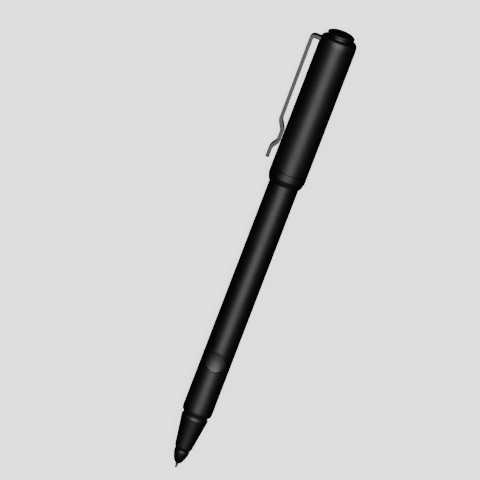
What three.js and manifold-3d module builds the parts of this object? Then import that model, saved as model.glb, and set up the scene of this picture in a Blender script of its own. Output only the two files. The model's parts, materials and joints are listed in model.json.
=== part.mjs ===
// A refillable technical pen with its push-on cap posted on the tail, lying on its side.
// Millimetres, +Z up. The pen's own axis is worked along y, with y = 0 at the writing tip and y growing
// towards the cap; the window faces +z and the clip lies on the -x side. One turn at the end lays it down.
import * as THREE from "three";
import { mergeVertices } from "three/addons/utils/BufferGeometryUtils.js";
import Module from "manifold-3d";

const wasm = await Module();
wasm.setup();

// Driving dimensions.
const BARREL_R = 5.0;
const CAP_R = 6.15;
const PEN_LENGTH = 127; // writing tip to the tail's end face
const POSTED_LENGTH = 154.1; // writing tip to the finial's end face, cap posted
const CAP_LENGTH = 53.3; // mouth to the finial's end face
const ROLL = Math.PI / 6; // how far the pen rolls to come to rest on its clip
const SIDES = 48; // facets round the large turned parts
const FINE_SIDES = 24; // facets round the small ones
const GAP = 0.04; // seam between parts that butt together

// Stations along the axis.
const FERRULE_START = 1.75;
const CONE_START = 6.45;
const CONE_SHOULDER = 17.9;
const CONE_END = 18.7;
const BARREL_START = 19.15;
const WINDOW_AT = 38.4;
const BAND_START = PEN_LENGTH - 5.95;
const COLLAR_START = PEN_LENGTH - 4.65;
const TAIL_NECK = PEN_LENGTH - 3.3;
const TAIL_HEAD = PEN_LENGTH - 2.5;
const CAP_MOUTH = POSTED_LENGTH - CAP_LENGTH;
const CAP_SEAM = CAP_MOUTH + 4.25;
const CAP_TOP = POSTED_LENGTH - 1.65;
const LINER_START = PEN_LENGTH + 0.4;
const CUP_START = LINER_START + 4.8;

// Radii shared by neighbours.
const BORE_R = 4.05;
const SPIGOT_R = 4.0;
const CAP_BORE_R = 5.2;
const LINER_BORE_R = 4.55;
const CUP_BORE_R = 3.4;
const CARTRIDGE_R = 3.2;
const WINDOW_R = 3.1;
const BEZEL_R = 3.5;
const SCREW_HOLE_R = 2.15;

// Clip: a bent strip of constant section. Its width is what lets cap and clip touch the ground together.
const CLIP_THICKNESS = 1.3;
const CLIP_REACH = 9.38; // axis to the clip's outer face
const CLIP_WIDTH = (2 * (CAP_R - CLIP_REACH * Math.sin(ROLL))) / Math.cos(ROLL);
const CLIP_LEVEL = 149.98; // mid-thickness of the arm that crosses the cap wall
const CLIP_ROOT_END = 6.62;
const CLIP_ARM_START = 6.7;

function finish(color, roughness, metalness) {
  return new THREE.MeshStandardMaterial({ color, roughness, metalness });
}

const satinBlack = finish(0x0b0b0b, 0.55, 0.0);
const sealRubber = finish(0x101010, 0.8, 0.0);
const blackSteel = finish(0x141414, 0.45, 0.8);
const brightSteel = finish(0xb4b4b0, 0.3, 1.0);
const smokedLens = finish(0x0c0c0d, 0.35, 0.0);
const milkyPlastic = finish(0xc9c8c2, 0.4, 0.0);
const innerPlastic = finish(0x2a2a2a, 0.6, 0.0);

// Points on an elliptical arc round (y, r), as [y, r] pairs; degrees run from +y towards +r.
function arc(y, r, alongY, alongR, from, to, steps) {
  return Array.from({ length: steps + 1 }, (_, i) => {
    const a = THREE.MathUtils.degToRad(from + ((to - from) * i) / steps);
    return [y + alongY * Math.cos(a), r + alongR * Math.sin(a)];
  });
}

// A profile of [y, r] pairs turned round the y axis. Outer walls run towards +y and inner walls back.
function turned(profile, sides = SIDES) {
  const closed = profile[0][1] > 0 ? [...profile, profile[0]] : profile;
  return new THREE.LatheGeometry(closed.map(([y, r]) => new THREE.Vector2(r, y)), sides);
}

function ring(y, innerR, outerR, length, sides = SIDES) {
  return turned([[y, innerR], [y, outerR], [y + length, outerR], [y + length, innerR]], sides);
}

function oRing(y, r, wireR, sides = SIDES) {
  return turned(arc(y, r, wireR, wireR, 180, -135, 7), sides);
}

// A round bar along z, from z = near to z = far, at the window's station.
function barThroughWindow(r, near, far) {
  return new THREE.CylinderGeometry(r, r, far - near, SIDES)
    .rotateX(Math.PI / 2)
    .translate(0, WINDOW_AT, (near + far) / 2);
}

function toSolid(geometry) {
  const bare = geometry.clone();
  bare.deleteAttribute("normal");
  bare.deleteAttribute("uv");
  const merged = mergeVertices(bare, 1e-4);
  const mesh = new wasm.Mesh({
    numProp: 3,
    vertProperties: new Float32Array(merged.attributes.position.array),
    triVerts: new Uint32Array(merged.index.array),
  });
  return new wasm.Manifold(mesh);
}

function toGeometry(solid) {
  const { vertProperties, triVerts } = solid.getMesh();
  return new THREE.BufferGeometry()
    .setAttribute("position", new THREE.BufferAttribute(vertProperties, 3))
    .setIndex(new THREE.BufferAttribute(triVerts, 1));
}

function cut(geometry, ...tools) {
  return toGeometry(tools.reduce((solid, tool) => solid.subtract(toSolid(tool)), toSolid(geometry)));
}

const pen = new THREE.Group();

function add(name, geometry, material) {
  const mesh = new THREE.Mesh(geometry, material);
  mesh.name = name;
  pen.add(mesh);
}

// ---- Writing end: everything that unscrews from the barrel ----

function nibTube() {
  const boreR = 0.16;
  const tipR = 0.36;
  const stemR = 0.53;
  return turned([[0, boreR], [0, tipR], [0.75, tipR], [0.95, stemR], [9, stemR], [9, boreR]], FINE_SIDES);
}

function nibFerrule() {
  const rimR = 2.5;
  const noseR = 0.8;
  const ogiveEnd = 5.2;
  const ogive = Array.from({ length: 9 }, (_, i) => {
    const t = (i / 8) ** 1.6; // closer together where the nose curves most
    return [FERRULE_START + (ogiveEnd - FERRULE_START) * t, noseR + (rimR - noseR) * t ** 0.6];
  });
  const rimEnd = CONE_START - 0.05;
  return turned([
    [FERRULE_START, 0.55], ...ogive,
    [rimEnd, rimR], [rimEnd, 2.08],
    [12.6, 2.08], [12.6, 0.9], [9.2, 0.9], [9.2, 0.55],
  ]);
}

function nibCone() {
  return turned([
    [CONE_START, 2.12], [CONE_START, 2.52], [CONE_START + 0.4, 2.72], [CONE_START + 0.95, 2.9],
    [CONE_SHOULDER, 4.52], ...arc(CONE_SHOULDER, 4.1, 0.78, 0.42, 60, 0, 2),
    [CONE_END, 3.45], [19.3, 3.45],
    [19.3, 3.85], [28.2, 3.85], [28.2, 2.55], [13, 2.55], [13, 2.12],
  ]);
}

// The feed carries a comb of fins that holds spare ink, and a spigot that opens the cartridge.
function nibBody() {
  const finR = 2.45;
  const coreR = 1.85;
  const fins = Array.from({ length: 5 }, (_, i) => {
    const y = 14.2 + 2.5 * i;
    return [[y, finR], [y + 1.5, finR], [y + 1.5, coreR], [y + 2.5, coreR]];
  });
  return turned([
    [13.1, 0.3], [13.1, coreR], [14.2, coreR], ...fins.flat(),
    [26.7, finR], [27.6, finR], [27.6, 1.62], [33.5, 1.62],
    [33.5, 1.35], [14.6, 1.35], [14.6, 0.3],
  ], FINE_SIDES);
}

function cartridge() {
  return turned([
    [76, 0], [76, 2.75], [32.5, 2.75], [32.5, 1.72], [30, 1.72], [30, CARTRIDGE_R],
    [76.5, CARTRIDGE_R], [77.2, 2.5], [77.2, 0],
  ], FINE_SIDES);
}

function writingEnd() {
  add("nib_tube", nibTube(), brightSteel);
  add("nib_ferrule", nibFerrule(), satinBlack);
  add("nib_cone", nibCone(), satinBlack);
  add("nib_body", nibBody(), innerPlastic);
  add("cleaning_wire", turned([[0.12, 0], [0.12, 0.08], [15, 0.08], [15, 0]], 12), brightSteel);
  add("drop_weight", turned([[15.05, 0], [15.05, 1.1], [21.5, 1.1], [21.5, 0]], FINE_SIDES), brightSteel);
  add("weight_keeper", ring(24.6, 0.5, 1.3, 1.6, FINE_SIDES), innerPlastic);
  add("cartridge", cartridge(), milkyPlastic);
  add("cartridge_collar", ring(28.6, 3.3, 3.75, 5), innerPlastic);
  add("section_seal", oRing((CONE_END + BARREL_START) / 2, 3.72, 0.2), sealRubber);
}

// ---- Barrel, window and tail ----

function barrel() {
  const nose = arc(BARREL_START + 1.9, 4.4, 1.9, BARREL_R - 4.4, 180, 90, 5);
  const tube = turned([
    [BARREL_START, BORE_R], ...nose,
    [BAND_START, BARREL_R], [BAND_START, BORE_R],
  ]);
  return cut(tube, barThroughWindow(BEZEL_R + 0.05, 1.5, 7));
}

// The window is dished along the pen and rounded across it, so its rim meets the barrel all the way round.
function inkWindow() {
  const dishR = 16.6;
  const acrossR = 5.9;
  const crest = 4.66;
  const halfLength = 4;
  const dish = Array.from({ length: 9 }, (_, i) => {
    const y = -halfLength + (2 * halfLength * i) / 8;
    return [WINDOW_AT + y, acrossR + (y * y) / (2 * dishR)];
  });
  const surface = turned([[WINDOW_AT - halfLength, 0], ...dish, [WINDOW_AT + halfLength, 0]])
    .translate(0, 0, crest - acrossR);
  const room = turned([[30, 0], [30, BEZEL_R], [46, BEZEL_R], [46, 0]]);
  const plug = toSolid(barThroughWindow(WINDOW_R, 2, 7));
  return toGeometry(plug.intersect(toSolid(surface)).subtract(toSolid(room)));
}

function windowBezel() {
  const hoop = toSolid(barThroughWindow(BEZEL_R, 2, 7)).subtract(
    toSolid(barThroughWindow(WINDOW_R + 0.05, 1, 8)),
  );
  const shell = ring(30, BEZEL_R, BARREL_R + 0.04, 16);
  return toGeometry(hoop.intersect(toSolid(shell)));
}

function barrelEndPlug() {
  const headR = 4.58;
  return turned([
    [PEN_LENGTH - 5, 0], [PEN_LENGTH - 5, 3.1], [PEN_LENGTH - 17, 3.1], [PEN_LENGTH - 17, SPIGOT_R],
    [PEN_LENGTH - 14.4, SPIGOT_R], [PEN_LENGTH - 14.4, 3.5], [PEN_LENGTH - 13.8, 3.5],
    [PEN_LENGTH - 13.8, SPIGOT_R], [COLLAR_START, SPIGOT_R],
    [COLLAR_START, BARREL_R], [TAIL_NECK - 0.6, BARREL_R], [TAIL_NECK, 4.62], [TAIL_NECK, 3.52],
    [TAIL_HEAD, 3.52], [TAIL_HEAD, 4.35], [TAIL_HEAD + 0.2, headR],
    ...arc(PEN_LENGTH - 0.5, headR - 0.5, 0.5, 0.5, 90, 0, 4), [PEN_LENGTH, 0],
  ]);
}

function barrelAndTail() {
  add("barrel", barrel(), satinBlack);
  add("ink_window", inkWindow(), smokedLens);
  add("window_bezel", windowBezel(), satinBlack);
  add("size_band", ring(BAND_START + GAP, SPIGOT_R + 0.08, BARREL_R - 0.02, 1.22), satinBlack);
  add("barrel_end_plug", barrelEndPlug(), satinBlack);
  add("plug_seal", oRing(PEN_LENGTH - 14.1, 3.78, 0.24), sealRubber);
  add("tail_ring", oRing((TAIL_NECK + TAIL_HEAD) / 2, 3.94, 0.37), sealRubber);
}

// ---- Cap ----

function capShell() {
  const tube = turned([
    [CAP_SEAM + GAP, 5.62], [CAP_SEAM + GAP, CAP_R], [CAP_TOP - 2.8, CAP_R], [CAP_TOP - 1.5, 6.03],
    ...arc(CAP_TOP - 0.9, 5.1, 0.9, 0.82, 75, 0, 4),
    [CAP_TOP, SCREW_HOLE_R], [CAP_TOP - 1.79, SCREW_HOLE_R], [CAP_TOP - 1.79, CAP_BORE_R],
    [CAP_SEAM + 3.55, CAP_BORE_R], [CAP_SEAM + 3.55, 5.62],
  ]);
  const slot = new THREE.BoxGeometry(2.4, CLIP_THICKNESS + 0.2, CLIP_WIDTH + 0.2);
  return cut(tube, slot.translate(-CAP_R, CLIP_LEVEL, 0));
}

function capCollar() {
  const mouthR = 5.12;
  const grooveR = 5.58;
  return turned([
    [CAP_MOUTH, mouthR], [CAP_MOUTH, 5.5], [CAP_MOUTH + 0.15, 5.62],
    [CAP_MOUTH + 2.2, 6.08], [CAP_MOUTH + 2.7, CAP_R],
    [CAP_SEAM, CAP_R], [CAP_SEAM, 5.57], [CAP_SEAM + 3.45, 5.57], [CAP_SEAM + 3.45, CAP_BORE_R],
    [CAP_MOUTH + 1.95, CAP_BORE_R], [CAP_MOUTH + 1.95, grooveR],
    [CAP_MOUTH + 1.15, grooveR], [CAP_MOUTH + 1.15, mouthR],
  ]);
}

function capLiner() {
  return turned([
    [LINER_START, LINER_BORE_R + 0.3], [LINER_START + 0.25, CAP_BORE_R - 0.06],
    [149.28, CAP_BORE_R - 0.06], [149.28, 2.1], [147.5, 2.1], [147.5, LINER_BORE_R],
    [LINER_START, LINER_BORE_R],
  ]);
}

// Pushed back by the cone when the pen is capped, so it seals the nib.
function sealCup() {
  const flangeR = 4.4;
  const bodyR = 3.75;
  const end = 144.3;
  return turned([
    [end - 0.5, 0], [end - 0.5, CUP_BORE_R], [CUP_START, CUP_BORE_R],
    [CUP_START, flangeR], [CUP_START + 2, flangeR], [CUP_START + 2, bodyR], [end, bodyR], [end, 0],
  ]);
}

function capSpring() {
  const turns = 6;
  const coilR = 4.13;
  const wireR = 0.22;
  const from = CUP_START + 2.3;
  const to = 147.2;
  const path = new THREE.CatmullRomCurve3(Array.from({ length: turns * 12 + 1 }, (_, i) => {
    const a = (2 * Math.PI * i) / 12;
    return new THREE.Vector3(coilR * Math.cos(a), from + ((to - from) * i) / (12 * turns), coilR * Math.sin(a));
  }));
  const section = new THREE.Shape(
    Array.from({ length: 6 }, (_, i) => {
      const a = (i * Math.PI) / 3;
      return new THREE.Vector2(wireR * Math.cos(a), wireR * Math.sin(a));
    }),
  );
  return new THREE.ExtrudeGeometry(section, { steps: turns * 12, extrudePath: path, bevelEnabled: false });
}

function finial() {
  const headR = 4.57;
  return turned([
    [147.3, 0], [147.3, 1.95], [CAP_TOP + 0.03, 1.95], [CAP_TOP + 0.03, headR],
    ...arc(POSTED_LENGTH - 0.6, headR - 0.6, 0.6, 0.6, 90, 0, 4), [POSTED_LENGTH, 0],
  ]);
}

// The washer and tongue that the finial's screw clamps under the cap's top.
function clipRoot() {
  const washerR = 4.9;
  const half = CLIP_WIDTH / 2;
  const spread = Math.asin(half / washerR);
  const outline = new THREE.Shape();
  outline.moveTo(-CLIP_ROOT_END, half);
  outline.lineTo(-CLIP_ROOT_END, -half);
  outline.absarc(0, 0, washerR, Math.PI + spread, 3 * Math.PI - spread, false);
  const hole = new THREE.Path();
  hole.absarc(0, 0, SCREW_HOLE_R, 0, 2 * Math.PI, true);
  outline.holes.push(hole);
  const plate = { depth: CLIP_THICKNESS, bevelEnabled: false, curveSegments: 16 };
  return new THREE.ExtrudeGeometry(outline, plate)
    .rotateX(-Math.PI / 2)
    .translate(0, CLIP_LEVEL - CLIP_THICKNESS / 2, 0);
}

// Rounds each corner of a line of [x, y] points with a curve that starts and ends `radius` from it.
function rounded(points, radius, steps) {
  const at = points.map(([x, y]) => new THREE.Vector2(x, y));
  const inner = at.slice(1, -1).flatMap((corner, i) => {
    const before = at[i].clone().sub(corner).setLength(radius).add(corner);
    const after = at[i + 2].clone().sub(corner).setLength(radius).add(corner);
    return new THREE.QuadraticBezierCurve(before, corner, after).getPoints(steps);
  });
  return [at[0], ...inner, at[at.length - 1]];
}

// The spring arm: out of the cap, down beside it, in to touch it and out again to a lifting tail.
function clipArm() {
  const mid = CLIP_REACH - CLIP_THICKNESS / 2;
  const touch = CAP_R + 0.06 + CLIP_THICKNESS / 2;
  const line = rounded([
    [-CLIP_ARM_START, CLIP_LEVEL], [-mid, CLIP_LEVEL], [-mid + 0.18, 120.4],
    [-touch, 117.3], [-touch, 113.3], [-mid + 0.36, 111], [-mid + 0.36, 107.3],
  ], 0.95, 3);
  const sides = line.map((p, i) => {
    const along = line[Math.min(i + 1, line.length - 1)].clone().sub(line[Math.max(i - 1, 0)]).normalize();
    const off = new THREE.Vector2(-along.y, along.x).multiplyScalar(CLIP_THICKNESS / 2);
    return { left: p.clone().add(off), right: p.clone().sub(off) };
  });
  const outline = new THREE.Shape([...sides.map((s) => s.left), ...sides.map((s) => s.right).reverse()]);
  return new THREE.ExtrudeGeometry(outline, { depth: CLIP_WIDTH, bevelEnabled: false })
    .translate(0, 0, -CLIP_WIDTH / 2);
}

function cap() {
  add("cap_collar", capCollar(), satinBlack);
  add("cap_grip_ring", oRing(CAP_MOUTH + 1.55, 5.3, 0.25), sealRubber);
  add("cap_shell", capShell(), satinBlack);
  add("cap_liner", capLiner(), innerPlastic);
  add("cup_stop_ring", ring(CUP_START - 0.8, 4.0, LINER_BORE_R - 0.05, 0.6), innerPlastic);
  add("seal_cup", sealCup(), sealRubber);
  add("cap_spring", capSpring(), brightSteel);
  add("clip_root", clipRoot(), blackSteel);
  add("clip_arm", clipArm(), blackSteel);
  add("finial", finial(), satinBlack);
}

writingEnd();
barrelAndTail();
cap();

// Lay the pen down: tip towards +X, cap towards -X, resting on the cap and the clip's edge, with the
// origin on the ground under the middle of its bounding box.
const clipSide = CLIP_REACH * Math.cos(ROLL) + (CLIP_WIDTH / 2) * Math.sin(ROLL);
pen.rotation.set(ROLL, 0, Math.PI / 2);
pen.position.set(POSTED_LENGTH / 2, (clipSide - CAP_R) / 2, CAP_R);

const technicalPen = new THREE.Group();
technicalPen.add(pen);

export default technicalPen;
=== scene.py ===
"""The looks of a technical pen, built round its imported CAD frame.

Pieces are designed in the pen's own coordinates, in millimetres: s runs along the axis from the writing
tip towards the cap, x points away from the clip and z points through the window. One matrix, read from
the frame's joints, carries them into the row frame.
"""
import json
import math

import bmesh
import bpy
from mathutils import Matrix, Vector


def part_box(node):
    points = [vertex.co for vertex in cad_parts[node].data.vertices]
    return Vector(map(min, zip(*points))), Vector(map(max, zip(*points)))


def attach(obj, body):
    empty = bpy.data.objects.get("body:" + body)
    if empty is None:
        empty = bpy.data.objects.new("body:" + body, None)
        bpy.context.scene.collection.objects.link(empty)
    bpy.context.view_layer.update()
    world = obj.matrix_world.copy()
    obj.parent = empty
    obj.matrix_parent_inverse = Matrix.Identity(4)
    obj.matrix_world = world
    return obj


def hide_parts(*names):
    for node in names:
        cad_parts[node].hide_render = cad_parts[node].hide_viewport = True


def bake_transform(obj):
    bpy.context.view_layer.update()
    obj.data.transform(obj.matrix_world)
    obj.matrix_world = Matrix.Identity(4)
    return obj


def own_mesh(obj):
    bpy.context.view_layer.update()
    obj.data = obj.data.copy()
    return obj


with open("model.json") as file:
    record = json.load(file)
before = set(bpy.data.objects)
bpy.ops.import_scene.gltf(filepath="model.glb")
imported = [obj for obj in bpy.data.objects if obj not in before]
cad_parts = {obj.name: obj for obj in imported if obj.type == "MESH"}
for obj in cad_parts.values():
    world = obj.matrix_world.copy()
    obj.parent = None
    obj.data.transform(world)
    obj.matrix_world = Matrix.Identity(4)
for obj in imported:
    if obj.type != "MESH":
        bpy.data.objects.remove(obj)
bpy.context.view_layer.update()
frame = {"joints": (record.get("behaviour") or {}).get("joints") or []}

MM = 0.001
TAU = 2 * math.pi

# The pen's directions and the point at its tip, read from the frame's joints and boxes.
joints = {joint["name"]: joint for joint in frame["joints"]}
AXIS_POINT = Vector(joints["cap_turn"]["pos_m"])
TIP_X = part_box("nib_tube")[1].x
WINDOW_DIR = -Vector(joints["clip_flex"]["axis"])
TO_CAP = Vector((-1, 0, 0))
FROM_CLIP = TO_CAP.cross(WINDOW_DIR)
TIP = Vector((TIP_X, AXIS_POINT.y, AXIS_POINT.z))


def pen_matrix():
    """From pen coordinates (x, s, z) in millimetres to the row frame in metres."""
    columns = [FROM_CLIP * MM, TO_CAP * MM, WINDOW_DIR * MM, TIP]
    rows = [[column[i] for column in columns] for i in range(3)]
    return Matrix([*rows, (0, 0, 0, 1)])


PEN = pen_matrix()


def span(node):
    """Where a node starts and ends along the pen's axis."""
    low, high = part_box(node)
    return (TIP_X - high.x) / MM, (TIP_X - low.x) / MM


def width(node):
    """A turned node's outer radius."""
    low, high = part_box(node)
    return (high.y - low.y) / 2 / MM


# Places along the axis and outer radii, read from the boxes of the nodes.
BARREL_START, BARREL_END = span("barrel")
BARREL_R = width("barrel")
CAP_MOUTH = span("cap_collar")[0]
CAP_SEAM = span("cap_shell")[0]
CAP_TOP = span("cap_shell")[1]
CAP_R = width("cap_shell")
PEN_END = span("barrel_end_plug")[1]
FINIAL_END = span("finial")[1]
WINDOW_AT = sum(span("window_bezel")) / 2
BEZEL_R = (span("window_bezel")[1] - span("window_bezel")[0]) / 2
CONE_START = span("nib_cone")[0]
FERRULE_START = span("nib_ferrule")[0]
CLIP_TAIL = span("clip_arm")[0]
CLIP_TOP = span("clip_arm")[1]
LINER_START = span("cap_liner")[0]
GROOVE_START = span("section_seal")[0] - 0.02
CUP_START = span("seal_cup")[0]

# Sizes that no box gives.
HAIRLINE = 0.14          # the seam that shows between two shells
SUPPORT = 0.08           # beyond a rounded corner, how soon the flat beside it starts
CORNER_SHARE = 0.49      # how much of a side a rounded corner may take
SHARP_EDGE = 35          # degrees at which an edge counts as sharp
WINDOW_R = BEZEL_R - 0.38
RIM_DROP = 0.1           # the window's rim, below the barrel's surface
DISH_DEPTH = 0.27
WINDOW_BACK = 2.3        # how far from the axis the window's back lies
BEZEL_BACK = 2.4
CLIP_THICKNESS = 1.3
CLIP_WIDTH = 3.372
CLIP_REACH = 9.38        # from the axis to the outside of the clip
CLIP_LEVEL = CLIP_TOP - CLIP_THICKNESS / 2
CAP_BORE = 5.2
CAP_JOINT_R = 5.62       # the socket where the shell slides over the collar
SCREW_R = 2.15           # the hole in the cap's end for the finial's stem
BUTTON_R = 4.57


# ---------------------------------------------------------------- geometry

def rounded(points, steps=6):
    """Rounds the corners of a line of (a, b) or (a, b, radius) points."""
    out = []
    last = len(points) - 1
    for i, point in enumerate(points):
        here = Vector(point[:2])
        radius = point[2] if len(point) > 2 else 0
        if radius == 0 or i in (0, last):
            out.append(here)
            continue
        before = Vector(points[i - 1][:2]) - here
        after = Vector(points[i + 1][:2]) - here
        turn = before.angle(after)
        reach = radius / math.tan(turn / 2)
        reach = min(reach, CORNER_SHARE * before.length, CORNER_SHARE * after.length)
        radius = reach * math.tan(turn / 2)
        start = here + before.normalized() * reach
        end = here + after.normalized() * reach
        bisector = (before.normalized() + after.normalized()).normalized()
        centre = here + bisector * (radius / math.sin(turn / 2))
        from_angle = math.atan2(start.y - centre.y, start.x - centre.x)
        sweep = math.atan2(end.y - centre.y, end.x - centre.x) - from_angle
        sweep = (sweep + math.pi) % TAU - math.pi
        hold = SUPPORT * min(1.0, reach)
        if before.length > reach + 3 * hold:
            out.append(here + before.normalized() * (reach + hold))
        for k in range(steps + 1):
            angle = from_angle + sweep * k / steps
            out.append(centre + radius * Vector((math.cos(angle), math.sin(angle))))
        if after.length > reach + 3 * hold:
            out.append(here + after.normalized() * (reach + hold))
    return out


def divided(profile, longest):
    """Adds points to a profile so that no step is longer than that."""
    out = [profile[0]]
    for point in profile[1:]:
        start = out[-1]
        count = max(1, math.ceil((point - start).length / longest))
        out += [start.lerp(point, (k + 1) / count) for k in range(count)]
    return out


def piece(name, bm, body, material, nodes=()):
    """Makes an object of a bmesh in pen coordinates and hands it to the frame."""
    bmesh.ops.transform(bm, matrix=PEN, verts=bm.verts)
    bmesh.ops.recalc_face_normals(bm, faces=bm.faces)
    mesh = bpy.data.meshes.new(name)
    bm.to_mesh(mesh)
    bm.free()
    mesh.shade_smooth()
    mesh.set_sharp_from_angle(angle=math.radians(SHARP_EDGE))
    obj = bpy.data.objects.new(name, mesh)
    bpy.context.scene.collection.objects.link(obj)
    mesh.materials.append(material)
    if nodes:
        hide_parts(*nodes)
    if body:
        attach(obj, body)
    return obj


def lathe(profile, sides=128, reshape=None):
    """Turns (s, r) points round the pen's axis. A profile that doesn't end on the axis is closed."""
    closed = profile[0].y > 1e-6
    bm = bmesh.new()
    rings = []
    for point in profile:
        if point.y <= 1e-6:
            rings.append([bm.verts.new((0, point.x, 0))])
            continue
        ring = []
        for k in range(sides):
            angle = TAU * k / sides
            r = reshape(point.x, angle, point.y) if reshape else point.y
            ring.append(bm.verts.new((r * math.cos(angle), point.x, r * math.sin(angle))))
        rings.append(ring)
    pairs = list(zip(rings, rings[1:]))
    if closed:
        pairs.append((rings[-1], rings[0]))
    for a, b in pairs:
        for k in range(sides):
            m = (k + 1) % sides
            corners = [a[k % len(a)], a[m % len(a)], b[m % len(b)], b[k % len(b)]]
            corners = list(dict.fromkeys(corners))
            if len(corners) > 2:
                bm.faces.new(corners)
    return bm


def turned(name, points, body, material, nodes=(), sides=128, longest=None, reshape=None):
    """A turned piece from its outline, with the corners that state a radius rounded."""
    profile = rounded(points)
    if longest:
        profile = divided(profile, longest)
    return piece(name, lathe(profile, sides, reshape), body, material, nodes)


def o_ring(node, body):
    """A rubber ring, as round in section as its node is long."""
    start, end = span(node)
    wire = (end - start) / 2
    middle = (start + end) / 2
    r = width(node) - wire
    steps = 24
    loop = [Vector((middle - wire * math.cos(TAU * k / steps), r + wire * math.sin(TAU * k / steps)))
            for k in range(steps)]
    piece(node, lathe(loop), body, rubber, [node])


def swept(stations, ring):
    """A closed skin through rings of points: stations is a list of (centre, across, out) frames."""
    bm = bmesh.new()
    rings = []
    for centre, across, out in stations:
        rings.append([bm.verts.new(centre + across * a + out * b) for a, b in ring])
    count = len(ring)
    for a, b in zip(rings, rings[1:]):
        for k in range(count):
            m = (k + 1) % count
            bm.faces.new((a[k], a[m], b[m], b[k]))
    bm.faces.new(list(reversed(rings[0])))
    bm.faces.new(rings[-1])
    return bm


def cut_away(obj, tool):
    """Takes the tool's shape out of a piece, for good."""
    modifier = obj.modifiers.new("cut", "BOOLEAN")
    modifier.object = tool
    modifier.operation = "DIFFERENCE"
    modifier.solver = "EXACT"
    bpy.context.view_layer.update()
    cut = bpy.data.meshes.new_from_object(obj.evaluated_get(bpy.context.evaluated_depsgraph_get()))
    obj.modifiers.clear()
    name = obj.data.name
    obj.data = cut
    cut.name = name
    cut.shade_smooth()
    cut.set_sharp_from_angle(angle=math.radians(SHARP_EDGE))
    bpy.data.objects.remove(tool)


def tool_object(bm):
    """A cutting shape in pen coordinates, which cut_away uses up."""
    bmesh.ops.transform(bm, matrix=PEN, verts=bm.verts)
    bmesh.ops.recalc_face_normals(bm, faces=bm.faces)
    mesh = bpy.data.meshes.new("tool")
    bm.to_mesh(mesh)
    bm.free()
    obj = bpy.data.objects.new("tool", mesh)
    bpy.context.scene.collection.objects.link(obj)
    return obj


# ---------------------------------------------------------------- materials

class Nodes:
    """A small way to write a material's nodes."""

    def __init__(self, name):
        self.material = bpy.data.materials.new(name)
        self.material.use_nodes = True
        self.tree = self.material.node_tree
        self.shader = self.tree.nodes["Principled BSDF"]
        self.coordinates = self.add("ShaderNodeTexCoord").outputs["Object"]

    def add(self, kind, inputs=(), **settings):
        node = self.tree.nodes.new(kind)
        for key, value in settings.items():
            setattr(node, key, value)
        for key, value in dict(inputs).items():
            self.put(node.inputs[key], value)
        return node

    def put(self, socket, value):
        if isinstance(value, bpy.types.NodeSocket):
            self.tree.links.new(value, socket)
        else:
            socket.default_value = value

    def stretched(self, scale):
        """Object coordinates scaled by a vector, in cycles per metre."""
        return self.add("ShaderNodeMapping", {"Vector": self.coordinates, "Scale": scale}).outputs["Vector"]

    def noise(self, scale, detail=3.0, roughness=0.5):
        scale = (scale, scale, scale) if isinstance(scale, (int, float)) else scale
        inputs = {"Vector": self.stretched(scale), "Scale": 1.0, "Detail": detail, "Roughness": roughness}
        return self.add("ShaderNodeTexNoise", inputs).outputs["Fac"]

    def span(self, value, low, high, from_low=0.3, from_high=0.7):
        inputs = {"Value": value, "From Min": from_low, "From Max": from_high, "To Min": low, "To Max": high}
        return self.add("ShaderNodeMapRange", inputs).outputs["Result"]

    def sums(self, a, b, operation="ADD"):
        return self.add("ShaderNodeMath", {0: a, 1: b}, operation=operation).outputs["Value"]

    def mix(self, factor, a, b):
        node = self.add("ShaderNodeMix", data_type="RGBA")
        self.put(node.inputs["Factor"], factor)
        self.put(node.inputs["A"], a)
        self.put(node.inputs["B"], b)
        return node.outputs["Result"]

    def bump(self, height, strength, distance, normal=None):
        inputs = {"Height": height, "Strength": strength, "Distance": distance}
        if normal:
            inputs["Normal"] = normal
        return self.add("ShaderNodeBump", inputs).outputs["Normal"]

    def set(self, **values):
        for key, value in values.items():
            self.put(self.shader.inputs[key.replace("_", " ")], value)


def grey(value):
    return (value, value, value, 1.0)


def satin_plastic(name, level, roughness, specular=0.5):
    """Moulded black plastic: a fine eroded grain, faint turning rings and a little handling polish."""
    m = Nodes(name)
    grain = m.noise(9000.0, 2.0)
    rings = m.noise((14000.0, 60.0, 60.0), 2.0)
    handling = m.noise(160.0, 4.0, 0.6)
    m.set(
        Base_Color=m.mix(m.span(handling, 0.0, 1.0), grey(level), grey(level * 1.5)),
        Roughness=m.sums(m.span(handling, roughness - 0.035, roughness + 0.035), m.span(grain, -0.02, 0.02)),
        Specular_IOR_Level=specular,
    )
    fine = m.bump(grain, 0.12, 0.00002)
    m.set(Normal=m.bump(rings, 0.05, 0.00002, fine))
    return m.material


def seal_material():
    m = Nodes("seal_rubber")
    grain = m.noise(6000.0, 3.0)
    dust = m.noise(700.0, 5.0, 0.7)
    m.set(
        Base_Color=m.mix(m.span(dust, 0.0, 1.0, 0.5, 0.8), grey(0.008), grey(0.02)),
        Roughness=m.span(dust, 0.62, 0.8),
        Specular_IOR_Level=0.35,
        Normal=m.bump(grain, 0.2, 0.00003),
    )
    return m.material


def steel(name, level, roughness, marks):
    """Turned or drawn bright steel, with marks along the given stretch of noise."""
    m = Nodes(name)
    lines = m.noise(marks, 3.0, 0.6)
    haze = m.noise(900.0, 4.0)
    m.set(
        Base_Color=m.mix(m.span(haze, 0.0, 1.0), grey(level), (level * 0.93, level * 0.92, level * 0.9, 1.0)),
        Metallic=1.0,
        Roughness=m.sums(m.span(lines, roughness - 0.06, roughness + 0.08), m.span(haze, -0.03, 0.03)),
        Normal=m.bump(lines, 0.15, 0.00002),
    )
    return m.material


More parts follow.
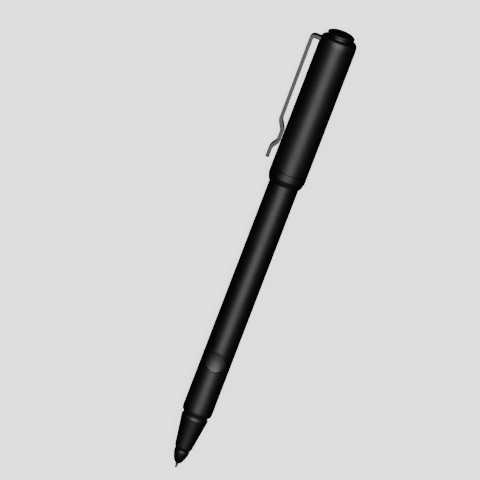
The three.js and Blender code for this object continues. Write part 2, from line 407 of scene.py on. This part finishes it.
def clip_material():
    """Spring steel with a black oxide finish, brushed along its length."""
    m = Nodes("black_steel")
    brushed = m.noise((180.0, 9000.0, 9000.0), 3.0, 0.6)
    haze = m.noise(260.0, 4.0, 0.6)
    m.set(
        Base_Color=m.mix(m.span(haze, 0.0, 1.0), grey(0.0006), grey(0.0012)),
        Roughness=m.sums(m.span(brushed, 0.42, 0.5), m.span(haze, -0.03, 0.03)),
        Specular_IOR_Level=0.65,
        Normal=m.bump(brushed, 0.06, 0.00002),
    )
    return m.material


def inlay_material():
    """A smoked, slightly glossy dish over the dark inside of the barrel."""
    m = Nodes("smoked_inlay")
    depth = m.noise(500.0, 3.0)
    grain = m.noise(8000.0, 2.0)
    m.set(
        Base_Color=m.mix(m.span(depth, 0.0, 1.0), grey(0.0006), (0.001, 0.001, 0.0012, 1.0)),
        Roughness=m.span(depth, 0.43, 0.48),
        Specular_IOR_Level=0.55,
        Normal=m.bump(grain, 0.05, 0.00002),
    )
    return m.material


def milky_material():
    m = Nodes("milky_plastic")
    cloud = m.noise(300.0, 4.0)
    m.set(
        Base_Color=m.mix(m.span(cloud, 0.0, 1.0), (0.8, 0.79, 0.75, 1.0), (0.7, 0.69, 0.65, 1.0)),
        Roughness=m.span(cloud, 0.28, 0.38),
        Subsurface_Weight=0.4,
        Subsurface_Scale=0.001,
    )
    return m.material


def dark_moulding():
    m = Nodes("inner_plastic")
    grain = m.noise(5000.0, 3.0)
    flow = m.noise((120.0, 500.0, 500.0), 3.0)
    m.set(
        Base_Color=m.mix(m.span(flow, 0.0, 1.0), grey(0.02), grey(0.032)),
        Roughness=m.span(grain, 0.55, 0.68),
        Normal=m.bump(grain, 0.12, 0.00003),
    )
    return m.material


satin = satin_plastic("satin_black", 0.0004, 0.445)
rubber = seal_material()
bright = steel("bright_steel", 0.62, 0.28, (12000.0, 200.0, 200.0))
tube_finish = steel("tube_steel", 0.06, 0.36, (12000.0, 200.0, 200.0))
clip_finish = clip_material()
inlay = inlay_material()
milky = milky_material()
inner = dark_moulding()
floor_material = Nodes("floor")


# ---------------------------------------------------------------- writing end

def ferrule_points():
    """The nose of the ferrule: full near the tube, then a long taper to its rim."""
    nose, rim, length = 0.8, 2.48, 3.45
    crowding, fullness = 1.6, 0.6
    steps = 24
    points = []
    for k in range(steps + 1):
        t = (k / steps) ** crowding
        points.append((FERRULE_START + length * t, nose + (rim - nose) * t ** fullness))
    return points


def section_thread(start, end, pitch, depth):
    """Raises a helical thread on the outside of the section's spigot."""
    outside, runout = 3.7, 0.6

    def reshape(s, angle, r):
        if r < outside or not start < s < end:
            return r
        phase = (s / pitch - angle / TAU) % 1.0
        fade = min(1.0, (s - start) / runout, (end - s) / runout)
        return r + depth * fade * (0.5 - abs(phase - 0.5)) * 2 - depth * 0.5 * fade
    return reshape


def nib():
    """The steel tube, the ferrule that holds it and the cone behind them."""
    bore, tip_r, stem_r = 0.16, 0.36, 0.53
    tip_end, stem_start = 0.75, 0.95
    tube_start, tube_end = span("nib_tube")
    turned("nib_tube", [
        (tube_start, bore), (tube_start, tip_r, 0.06), (tip_end, tip_r), (stem_start, stem_r, 0.05),
        (tube_end, stem_r), (tube_end, bore),
    ], "section", tube_finish, ["nib_tube"], 64)

    shoulder = CONE_START - HAIRLINE
    ferrule_end = span("nib_ferrule")[1]
    spigot_r, tube_hole_r, feed_hole_r = 2.08, 0.55, 0.9
    tube_hole_end = 9.2
    turned("nib_ferrule", [
        (FERRULE_START, tube_hole_r), *ferrule_points(), (shoulder - 0.25, 2.5, 0.1), (shoulder, 2.4, 0.05),
        (shoulder, spigot_r), (ferrule_end, spigot_r, 0.1), (ferrule_end, feed_hole_r),
        (tube_hole_end, feed_hole_r), (tube_hole_end, tube_hole_r),
    ], "section", satin, ["nib_ferrule"])

    cone_end = span("nib_cone")[1]
    seat_r, seat_end, feed_room_r = 2.12, 13.0, 2.55
    groove_end, groove_r, thread_r = 19.3, 3.45, 3.85
    turned("nib_cone", [
        (CONE_START, seat_r), (CONE_START, 2.5, 0.05), (CONE_START + 0.4, 2.7, 0.3),
        (CONE_START + 0.95, 2.9, 0.6), (GROOVE_START - 0.75, 4.5, 2.4), (GROOVE_START, 4.05, 0.15),
        (GROOVE_START, groove_r, 0.05), (groove_end, groove_r, 0.05), (groove_end, thread_r, 0.15),
        (cone_end, thread_r, 0.2), (cone_end, feed_room_r), (seat_end, feed_room_r), (seat_end, seat_r),
    ], "section", satin, ["nib_cone"], 128, 0.12, section_thread(19.8, 25.6, 0.8, 0.3))


def feed():
    """The finned feed, the drop weight with its cleaning wire, and the ring that keeps them in."""
    body_start, body_end = span("nib_body")
    fin_r, core_r, spigot_r, bore, inside_r = 2.45, 1.85, 1.62, 0.3, 1.35
    fin, pitch, first, inside_start = 1.5, 2.5, 1.1, 14.6
    flange_start, flange_end = 26.7, 27.6
    fins = []
    for k in range(5):
        at = body_start + first + pitch * k
        fins += [(at, fin_r, 0.05), (at + fin, fin_r, 0.05)]
        fins += [(at + fin, core_r, 0.05), (at + pitch, core_r, 0.05)]
    turned("nib_body", [
        (body_start, bore), (body_start, core_r, 0.1), *fins, (flange_start, fin_r, 0.05),
        (flange_end, fin_r, 0.05), (flange_end, spigot_r, 0.05), (body_end, spigot_r, 0.25),
        (body_end, inside_r), (inside_start, inside_r), (inside_start, bore),
    ], "section", inner, ["nib_body"], 64)

    wire_start, wire_end = span("cleaning_wire")
    wire_r = 0.08
    turned("cleaning_wire", [
        (wire_start, 0), (wire_start, wire_r, 0.03), (wire_end, wire_r), (wire_end, 0),
    ], "weight", bright, ["cleaning_wire"], 24)
    weight_start, weight_end = span("drop_weight")
    weight_r, nick_r = 1.1, 0.95
    turned("drop_weight", [
        (weight_start, 0), (weight_start, weight_r, 0.25), (weight_end - 1.6, weight_r, 0.05),
        (weight_end - 1.4, nick_r, 0.05), (weight_end - 1.2, weight_r, 0.05), (weight_end, weight_r, 0.25),
        (weight_end, 0),
    ], "weight", bright, ["drop_weight"], 64)
    plain_ring("weight_keeper", "section", 0.5, 1.3, (0.05, 0.1), 48)


def cartridge():
    """The ink cartridge, narrowed where it takes the feed, and the collar round it."""
    ink_start, ink_end = span("cartridge")
    ink_r, outer_r, mouth_r = 2.75, 3.2, 1.72
    turned("cartridge", [
        (ink_end - 1.2, 0), (ink_end - 1.2, ink_r, 0.3), (ink_start + 2.5, ink_r, 0.3),
        (ink_start + 2.5, mouth_r, 0.1), (ink_start, mouth_r, 0.1), (ink_start, outer_r, 0.2),
        (ink_end - 0.7, outer_r, 0.3), (ink_end, 2.5, 0.3), (ink_end, 0),
    ], "section", milky, ["cartridge"], 96)
    plain_ring("cartridge_collar", "section", 3.3, 3.75, (0.1, 0.1), 96)


def plain_ring(node, body, inner_r, outer_r, fillets, sides):
    """A square-section ring of the inner plastic, with its own fillets inside and outside."""
    start, end = span(node)
    turned(node, [
        (start, inner_r, fillets[0]), (start, outer_r, fillets[1]),
        (end, outer_r, fillets[1]), (end, inner_r, fillets[0]),
    ], body, inner, [node], sides)


def writing_end():
    nib()
    feed()
    cartridge()
    o_ring("section_seal", "section_ring")


# ---------------------------------------------------------------- barrel and tail

def window_surface(x, s):
    """How far the dished window stands out at a point, from its own centre."""
    rho = math.hypot(x, s) / WINDOW_R
    return math.sqrt(BARREL_R ** 2 - x * x) - RIM_DROP - DISH_DEPTH * (1 - min(rho, 1.0) ** 2)


def window_disc():
    """The dished inlay: rings of its surface from the middle out, then its sides and its flat back."""
    bm = bmesh.new()
    rings = [[bm.verts.new((0, WINDOW_AT, window_surface(0, 0)))]]
    steps, sides = 20, 96
    for i in range(1, steps + 1):
        r = WINDOW_R * i / steps
        ring = []
        for k in range(sides):
            x, s = r * math.cos(TAU * k / sides), r * math.sin(TAU * k / sides)
            ring.append(bm.verts.new((x, WINDOW_AT + s, window_surface(x, s))))
        rings.append(ring)
    rings.append([bm.verts.new((v.co.x, v.co.y, WINDOW_BACK)) for v in rings[-1]])
    rings.append([bm.verts.new((0, WINDOW_AT, WINDOW_BACK))])
    for a, b in zip(rings, rings[1:]):
        for k in range(sides):
            m = (k + 1) % sides
            corners = list(dict.fromkeys([a[k % len(a)], a[m % len(a)], b[m % len(b)], b[k % len(b)]]))
            bm.faces.new(corners)
    return bm


def bezel_hoop():
    """A thin hoop whose outer edge is rounded and follows the barrel."""
    gap, stand = 0.03, 0.035
    inner_r, outer_r = WINDOW_R + gap, BEZEL_R - gap
    crown = [(0.0, -0.10), (0.04, -0.02), (0.2, stand), (0.5, stand + 0.015), (0.8, stand), (0.96, -0.02),
             (1.0, -0.08)]
    sides = 144
    bm = bmesh.new()
    rings = []
    for k in range(sides):
        angle = TAU * k / sides
        ring = []
        for share, rise in crown:
            r = inner_r + (outer_r - inner_r) * share
            x, s = r * math.cos(angle), r * math.sin(angle)
            ring.append(bm.verts.new((x, WINDOW_AT + s, math.sqrt(BARREL_R ** 2 - x * x) + rise)))
        for r in (outer_r, inner_r):
            ring.append(bm.verts.new((r * math.cos(angle), WINDOW_AT + r * math.sin(angle), BEZEL_BACK)))
        rings.append(ring)
    for a, b in zip(rings, [*rings[1:], rings[0]]):
        for k in range(len(a)):
            m = (k + 1) % len(a)
            bm.faces.new((a[k], a[m], b[m], b[k]))
    return bm


def bar_through_window(r, near, far):
    """A round bar along the window's own axis, to cut its hole."""
    sides = 144
    bm = bmesh.new()
    loops = []
    for z in (near, far):
        loop = []
        for k in range(sides):
            angle = TAU * k / sides
            loop.append(bm.verts.new((r * math.cos(angle), WINDOW_AT + r * math.sin(angle), z)))
        loops.append(loop)
    for k in range(sides):
        m = (k + 1) % sides
        bm.faces.new((loops[0][k], loops[0][m], loops[1][m], loops[1][k]))
    bm.faces.new(loops[0])
    bm.faces.new(loops[1])
    return bm


def barrel_and_tail():
    bore, band_bore, band_drop = 4.05, 4.08, 0.02
    tube = turned("barrel", [
        (BARREL_START, bore, 0.05), (BARREL_START, 4.42, 0.06), (BARREL_START + 0.4, 4.85, 1.0),
        (BARREL_START + 1.35, BARREL_R, 2.0), (BARREL_END, BARREL_R, 0.04), (BARREL_END, bore),
    ], "pen_barrel", satin, ["barrel"], 144)
    cut_away(tube, tool_object(bar_through_window(BEZEL_R, 1.5, 7)))

    piece("ink_window", window_disc(), "pen_barrel", inlay, ["ink_window"])
    piece("window_bezel", bezel_hoop(), "pen_barrel", satin, ["window_bezel"])

    band_start, band_end = span("size_band")
    turned("size_band", [
        (band_start, band_bore), (band_start, BARREL_R - band_drop, 0.06),
        (band_end, BARREL_R - band_drop, 0.06), (band_end, band_bore),
    ], "pen_barrel", satin, ["size_band"])

    collar = PEN_END - 4.65
    neck = PEN_END - 3.3
    head = PEN_END - 2.5
    spigot = span("barrel_end_plug")[0]
    groove, groove_end = spigot + 2.6, spigot + 3.2
    hollow_r, spigot_r, groove_r, neck_r, head_r = 3.1, 4.0, 3.5, 3.52, 4.58
    turned("barrel_end_plug", [
        (PEN_END - 5, 0), (PEN_END - 5, hollow_r, 0.2), (spigot, hollow_r, 0.1), (spigot, spigot_r, 0.2),
        (groove, spigot_r, 0.05), (groove, groove_r, 0.05), (groove_end, groove_r, 0.05),
        (groove_end, spigot_r, 0.05), (collar, spigot_r, 0.02), (collar, BARREL_R, 0.05),
        (neck - 0.6, BARREL_R, 0.12), (neck, 4.62, 0.06), (neck, neck_r, 0.1), (head, neck_r, 0.1),
        (head, 4.35, 0.03), (head + 0.2, head_r, 0.15), (PEN_END, head_r, 0.5), (PEN_END, 0),
    ], "pen_barrel", satin, ["barrel_end_plug"])
    o_ring("plug_seal", "pen_barrel")
    o_ring("tail_ring", "tail_ring")


# ---------------------------------------------------------------- cap

def clip_slot():
    """The hole in the cap's side that the clip's tongue comes out of."""
    clearance, corner = 0.1, 0.15
    along = CLIP_THICKNESS / 2 + clearance
    across = CLIP_WIDTH / 2 + clearance
    outline = rounded([
        (0, across), (along, across, corner), (along, -across, corner), (-along, -across, corner),
        (-along, across, corner), (0, across),
    ])
    ring = [(point.y, point.x) for point in outline[:-1]]
    stations = [(Vector((x, CLIP_LEVEL, 0)), Vector((0, 0, 1)), Vector((0, 1, 0))) for x in (-7.4, -4.9)]
    return tool_object(swept(stations, ring))


def cap_outside():
    """The shell, the collar at its mouth and the grip ring inside that."""
    socket_end = CAP_SEAM + 3.55
    roof = CAP_TOP - 1.79
    shell = turned("cap_shell", [
        (CAP_SEAM, CAP_JOINT_R, 0.03), (CAP_SEAM, CAP_R, 0.1), (CAP_TOP - 2.7, CAP_R, 4.0),
        (CAP_TOP - 1.6, 6.03, 1.6), (CAP_TOP - 0.85, 5.75, 0.7), (CAP_TOP - 0.4, 4.95, 0.3),
        (CAP_TOP - 0.4, 4.12, 0.05), (CAP_TOP, 4.08),
        (CAP_TOP, SCREW_R), (roof, SCREW_R), (roof, CAP_BORE, 0.2),
        (socket_end, CAP_BORE), (socket_end, CAP_JOINT_R),
    ], "cap", satin, ["cap_shell"], 144)
    cut_away(shell, clip_slot())

    lip = CAP_SEAM - HAIRLINE
    spigot_end, spigot_r = CAP_SEAM + 3.4, 5.57
    groove, groove_end, groove_r = CAP_MOUTH + 1.15, CAP_MOUTH + 1.95, 5.58
    mouth_bore = 5.12
    turned("cap_collar", [
        (CAP_MOUTH, mouth_bore, 0.08), (CAP_MOUTH, 5.48, 0.06), (CAP_MOUTH + 1.95, 6.13, 0.5),
        (lip, CAP_R, 0.1), (lip, spigot_r),
        (spigot_end, spigot_r, 0.1), (spigot_end, CAP_BORE, 0.05), (groove_end, CAP_BORE),
        (groove_end, groove_r), (groove, groove_r), (groove, mouth_bore),
    ], "cap", satin, ["cap_collar"], 144)
    o_ring("cap_grip_ring", "cap")


def cap_inside():
    """The liner, the ring that stops the sealing cup, and the cup."""
    liner_end = span("cap_liner")[1]
    liner_bore, liner_r, floor_at = 4.55, CAP_BORE - 0.06, 147.5
    turned("cap_liner", [
        (LINER_START, liner_bore + 0.3, 0.1), (LINER_START + 0.25, liner_r, 0.1),
        (liner_end, liner_r, 0.1), (liner_end, 2.1), (floor_at, 2.1), (floor_at, liner_bore, 0.2),
        (LINER_START + 0.6, liner_bore, 0.3),
    ], "cap", inner, ["cap_liner"], 96)
    plain_ring("cup_stop_ring", "cap", 4.0, 4.5, (0.1, 0.1), 96)

    cup_end = span("seal_cup")[1]
    rim_end = CUP_START + 2
    inside_r, wall_r, rim_r = 3.4, 3.75, 4.4
    turned("seal_cup", [
        (cup_end - 0.5, 0), (cup_end - 0.5, inside_r, 0.6), (CUP_START + 1.2, inside_r, 0.4),
        (CUP_START, wall_r, 0.2), (CUP_START, rim_r, 0.25), (rim_end, rim_r, 0.15),
        (rim_end, wall_r, 0.15), (cup_end, wall_r, 0.8), (cup_end, 0),
    ], "seal", rubber, ["seal_cup"], 96)


def finial():
    """The button on the cap's end and the stem that holds it."""
    stem_start = span("finial")[0]
    stem_r = 1.95
    foot = CAP_TOP + 0.03
    side = CAP_TOP + 0.36
    turned("finial", [
        (stem_start, 0), (stem_start, stem_r, 0.2), (foot, stem_r, 0.1),
        (foot, 4.2, 0.03), (side, 4.25, 0.03), (side, BUTTON_R, 0.12),
        (FINIAL_END - 0.8, BUTTON_R, 0.2), (FINIAL_END - 0.12, 3.6, 2.0), (FINIAL_END, 1.2, 2.0),
        (FINIAL_END, 0),
    ], "cap", satin, ["finial"], 144)


def cap_parts():
    cap_outside()
    cap_inside()
    finial()


def cap_spring():
    """A helical spring with closed end turns, which the sealing cup is pressed back against."""
    start, end = span("cap_spring")
    wire, coil_r = 0.22, 4.13
    turns, per_turn, round_steps = 8, 40, 12
    count = turns * per_turn
    closed = 1.0 / turns
    low, high = start + wire, end - wire
    points = []
    for k in range(count + 1):
        t = k / count
        rise = min(max((t - closed) / (1 - 2 * closed), 0.0), 1.0)
        lift = 2 * wire * min(t / closed, 1.0) + 2 * wire * max((t - 1 + closed) / closed, 0.0)
        s = low + lift + (high - low - 4 * wire) * rise
        angle = TAU * k / per_turn
        points.append(Vector((coil_r * math.cos(angle), s, coil_r * math.sin(angle))))
    stations = []
    for k, point in enumerate(points):
        tangent = (points[min(k + 1, count)] - points[max(k - 1, 0)]).normalized()
        out = Vector((point.x, 0, point.z)).normalized()
        stations.append((point, tangent.cross(out).normalized(), out))
    ring = []
    for k in range(round_steps):
        angle = TAU * k / round_steps
        ring.append((wire * math.cos(angle), wire * math.sin(angle)))
    spring = piece("cap_spring", swept(stations, ring), None, bright, ["cap_spring"])
    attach(spring, "cap")
    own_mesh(spring)


def clip_line():
    """The middle of the clip's strip: tongue, bend, long arm, the foot that touches the cap, and tail."""
    reach = CLIP_REACH - CLIP_THICKNESS / 2
    foot_gap = 0.06
    touch = CAP_R + foot_gap + CLIP_THICKNESS / 2
    return divided(rounded([
        (-4.95, CLIP_LEVEL), (-reach, CLIP_LEVEL, 1.15), (-reach + 0.18, 120.4, 3.2), (-touch, 117.3, 2.6),
        (-touch, 113.3, 2.6), (-reach + 0.36, 111.0, 2.6), (-reach + 0.36, CLIP_TAIL),
    ], 14), 1.2)


def clip():
    """One strip of spring steel that bends where it leaves the cap, and the washer that holds it."""
    half_thick = CLIP_THICKNESS / 2
    half_wide = CLIP_WIDTH / 2
    edge = 0.16
    section = rounded([
        (0, half_thick), (half_wide, half_thick, edge), (half_wide, -half_thick, edge),
        (-half_wide, -half_thick, edge), (-half_wide, half_thick, edge), (0, half_thick),
    ], 4)[:-1]
    line = clip_line()
    stations = []
    for k, point in enumerate(line):
        ahead = (line[min(k + 1, len(line) - 1)] - line[max(k - 1, 0)]).normalized()
        out = Vector((-ahead.y, ahead.x, 0))
        stations.append((Vector((point.x, point.y, 0)), Vector((0, 0, 1)), out))

    # The tail's end is rounded over by shrinking its last few sections.
    end_centre, end_across, end_out = stations[-1]
    ahead = Vector((0, -1, 0))
    stations[-1] = (end_centre - ahead * edge, end_across, end_out)
    steps = 4
    for k in range(1, steps + 1):
        angle = math.pi / 2 * k / steps
        shrink = edge * (1 - math.cos(angle))
        centre = end_centre - ahead * edge * (1 - math.sin(angle))
        stations.append((centre, end_across * (1 - shrink / half_wide), end_out * (1 - shrink / half_thick)))
    strip = piece("clip_strip", swept(stations, [(p.x, p.y) for p in section]), None,
                  clip_finish, ["clip_arm"])
    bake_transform(strip)

    washer_r = 4.9
    turned("clip_root", [
        (CLIP_LEVEL - half_thick, SCREW_R, 0.1), (CLIP_LEVEL - half_thick, washer_r, 0.15),
        (CLIP_LEVEL + half_thick, washer_r, 0.15), (CLIP_LEVEL + half_thick, SCREW_R, 0.1),
    ], "cap", clip_finish, ["clip_root"], 96)


writing_end()
barrel_and_tail()
cap_parts()
cap_spring()
clip()


# ---------------------------------------------------------------- floor, light and camera

TILT = math.radians(14)      # how far the view leans towards the cap
LEAN = math.radians(21)      # how far the pen leans in the view
FRAME_WIDTH = 0.1541         # metres across the picture, at the pen
LENS = 1400.0
SENSOR = 36.0
BACK = (WINDOW_DIR * math.cos(TILT) + TO_CAP * math.sin(TILT)).normalized()
ALONG = (TO_CAP * math.cos(TILT) - WINDOW_DIR * math.sin(TILT)).normalized()
CLIP_DIR = -FROM_CLIP
UP = (ALONG * math.cos(LEAN) + CLIP_DIR * math.sin(LEAN)).normalized()
RIGHT = UP.cross(BACK).normalized()
AIM_ALONG, AIM_ASIDE = 78.08, 6.85       # from the tip, in millimetres
TARGET = TIP + TO_CAP * AIM_ALONG * MM + CLIP_DIR * AIM_ASIDE * MM
DISTANCE = FRAME_WIDTH * LENS / SENSOR

camera_data = bpy.data.cameras.new("camera")
camera_data.lens = LENS
camera_data.sensor_width = SENSOR
camera_data.clip_end = 50
camera = bpy.data.objects.new("camera", camera_data)
axes = Matrix([[RIGHT[i], UP[i], BACK[i]] for i in range(3)]).to_4x4()
camera.matrix_world = Matrix.Translation(TARGET + BACK * DISTANCE) @ axes
bpy.context.scene.collection.objects.link(camera)
bpy.context.scene.camera = camera

FLOOR_SIZE = 6.0
FLOOR_DROP = 0.0002          # keeps the floor just clear of the pen
floor_bm = bmesh.new()
bmesh.ops.create_grid(floor_bm, x_segments=1, y_segments=1, size=FLOOR_SIZE)
floor_mesh = bpy.data.meshes.new("floor")
floor_bm.to_mesh(floor_mesh)
floor_bm.free()
floor = bpy.data.objects.new("floor", floor_mesh)
floor.location.z = -FLOOR_DROP
floor_mesh.materials.append(floor_material.material)
floor_material.set(Base_Color=grey(0.5), Roughness=0.9, Specular_IOR_Level=0.0,
                   Emission_Color=grey(1.0), Emission_Strength=1.8)
bpy.context.scene.collection.objects.link(floor)
floor.visible_glossy = False
floor.visible_diffuse = False


def softbox(name, direction, distance, size, power):
    """A round lamp that faces the pen."""
    data = bpy.data.lights.new(name, "AREA")
    data.shape = "DISK"
    data.size = size
    data.energy = power
    lamp = bpy.data.objects.new(name, data)
    at = AXIS_POINT + direction.normalized() * distance
    lamp.matrix_world = Matrix.Translation(at) @ direction.to_track_quat("Z", "Y").to_matrix().to_4x4()
    bpy.context.scene.collection.objects.link(lamp)


KEY_ASIDE = 0.06         # the one light is just beside the camera's line of sight
KEY_DISTANCE, KEY_SIZE, KEY_POWER = 12.0, 13.8, 2925.0
softbox("key", BACK + FROM_CLIP * KEY_ASIDE, KEY_DISTANCE, KEY_SIZE, KEY_POWER)

world = bpy.data.worlds.new("world")
bpy.context.scene.world = world
world.use_nodes = True
world.node_tree.nodes["Background"].inputs["Color"].default_value = (1, 1, 1, 1)
world.node_tree.nodes["Background"].inputs["Strength"].default_value = 0.008
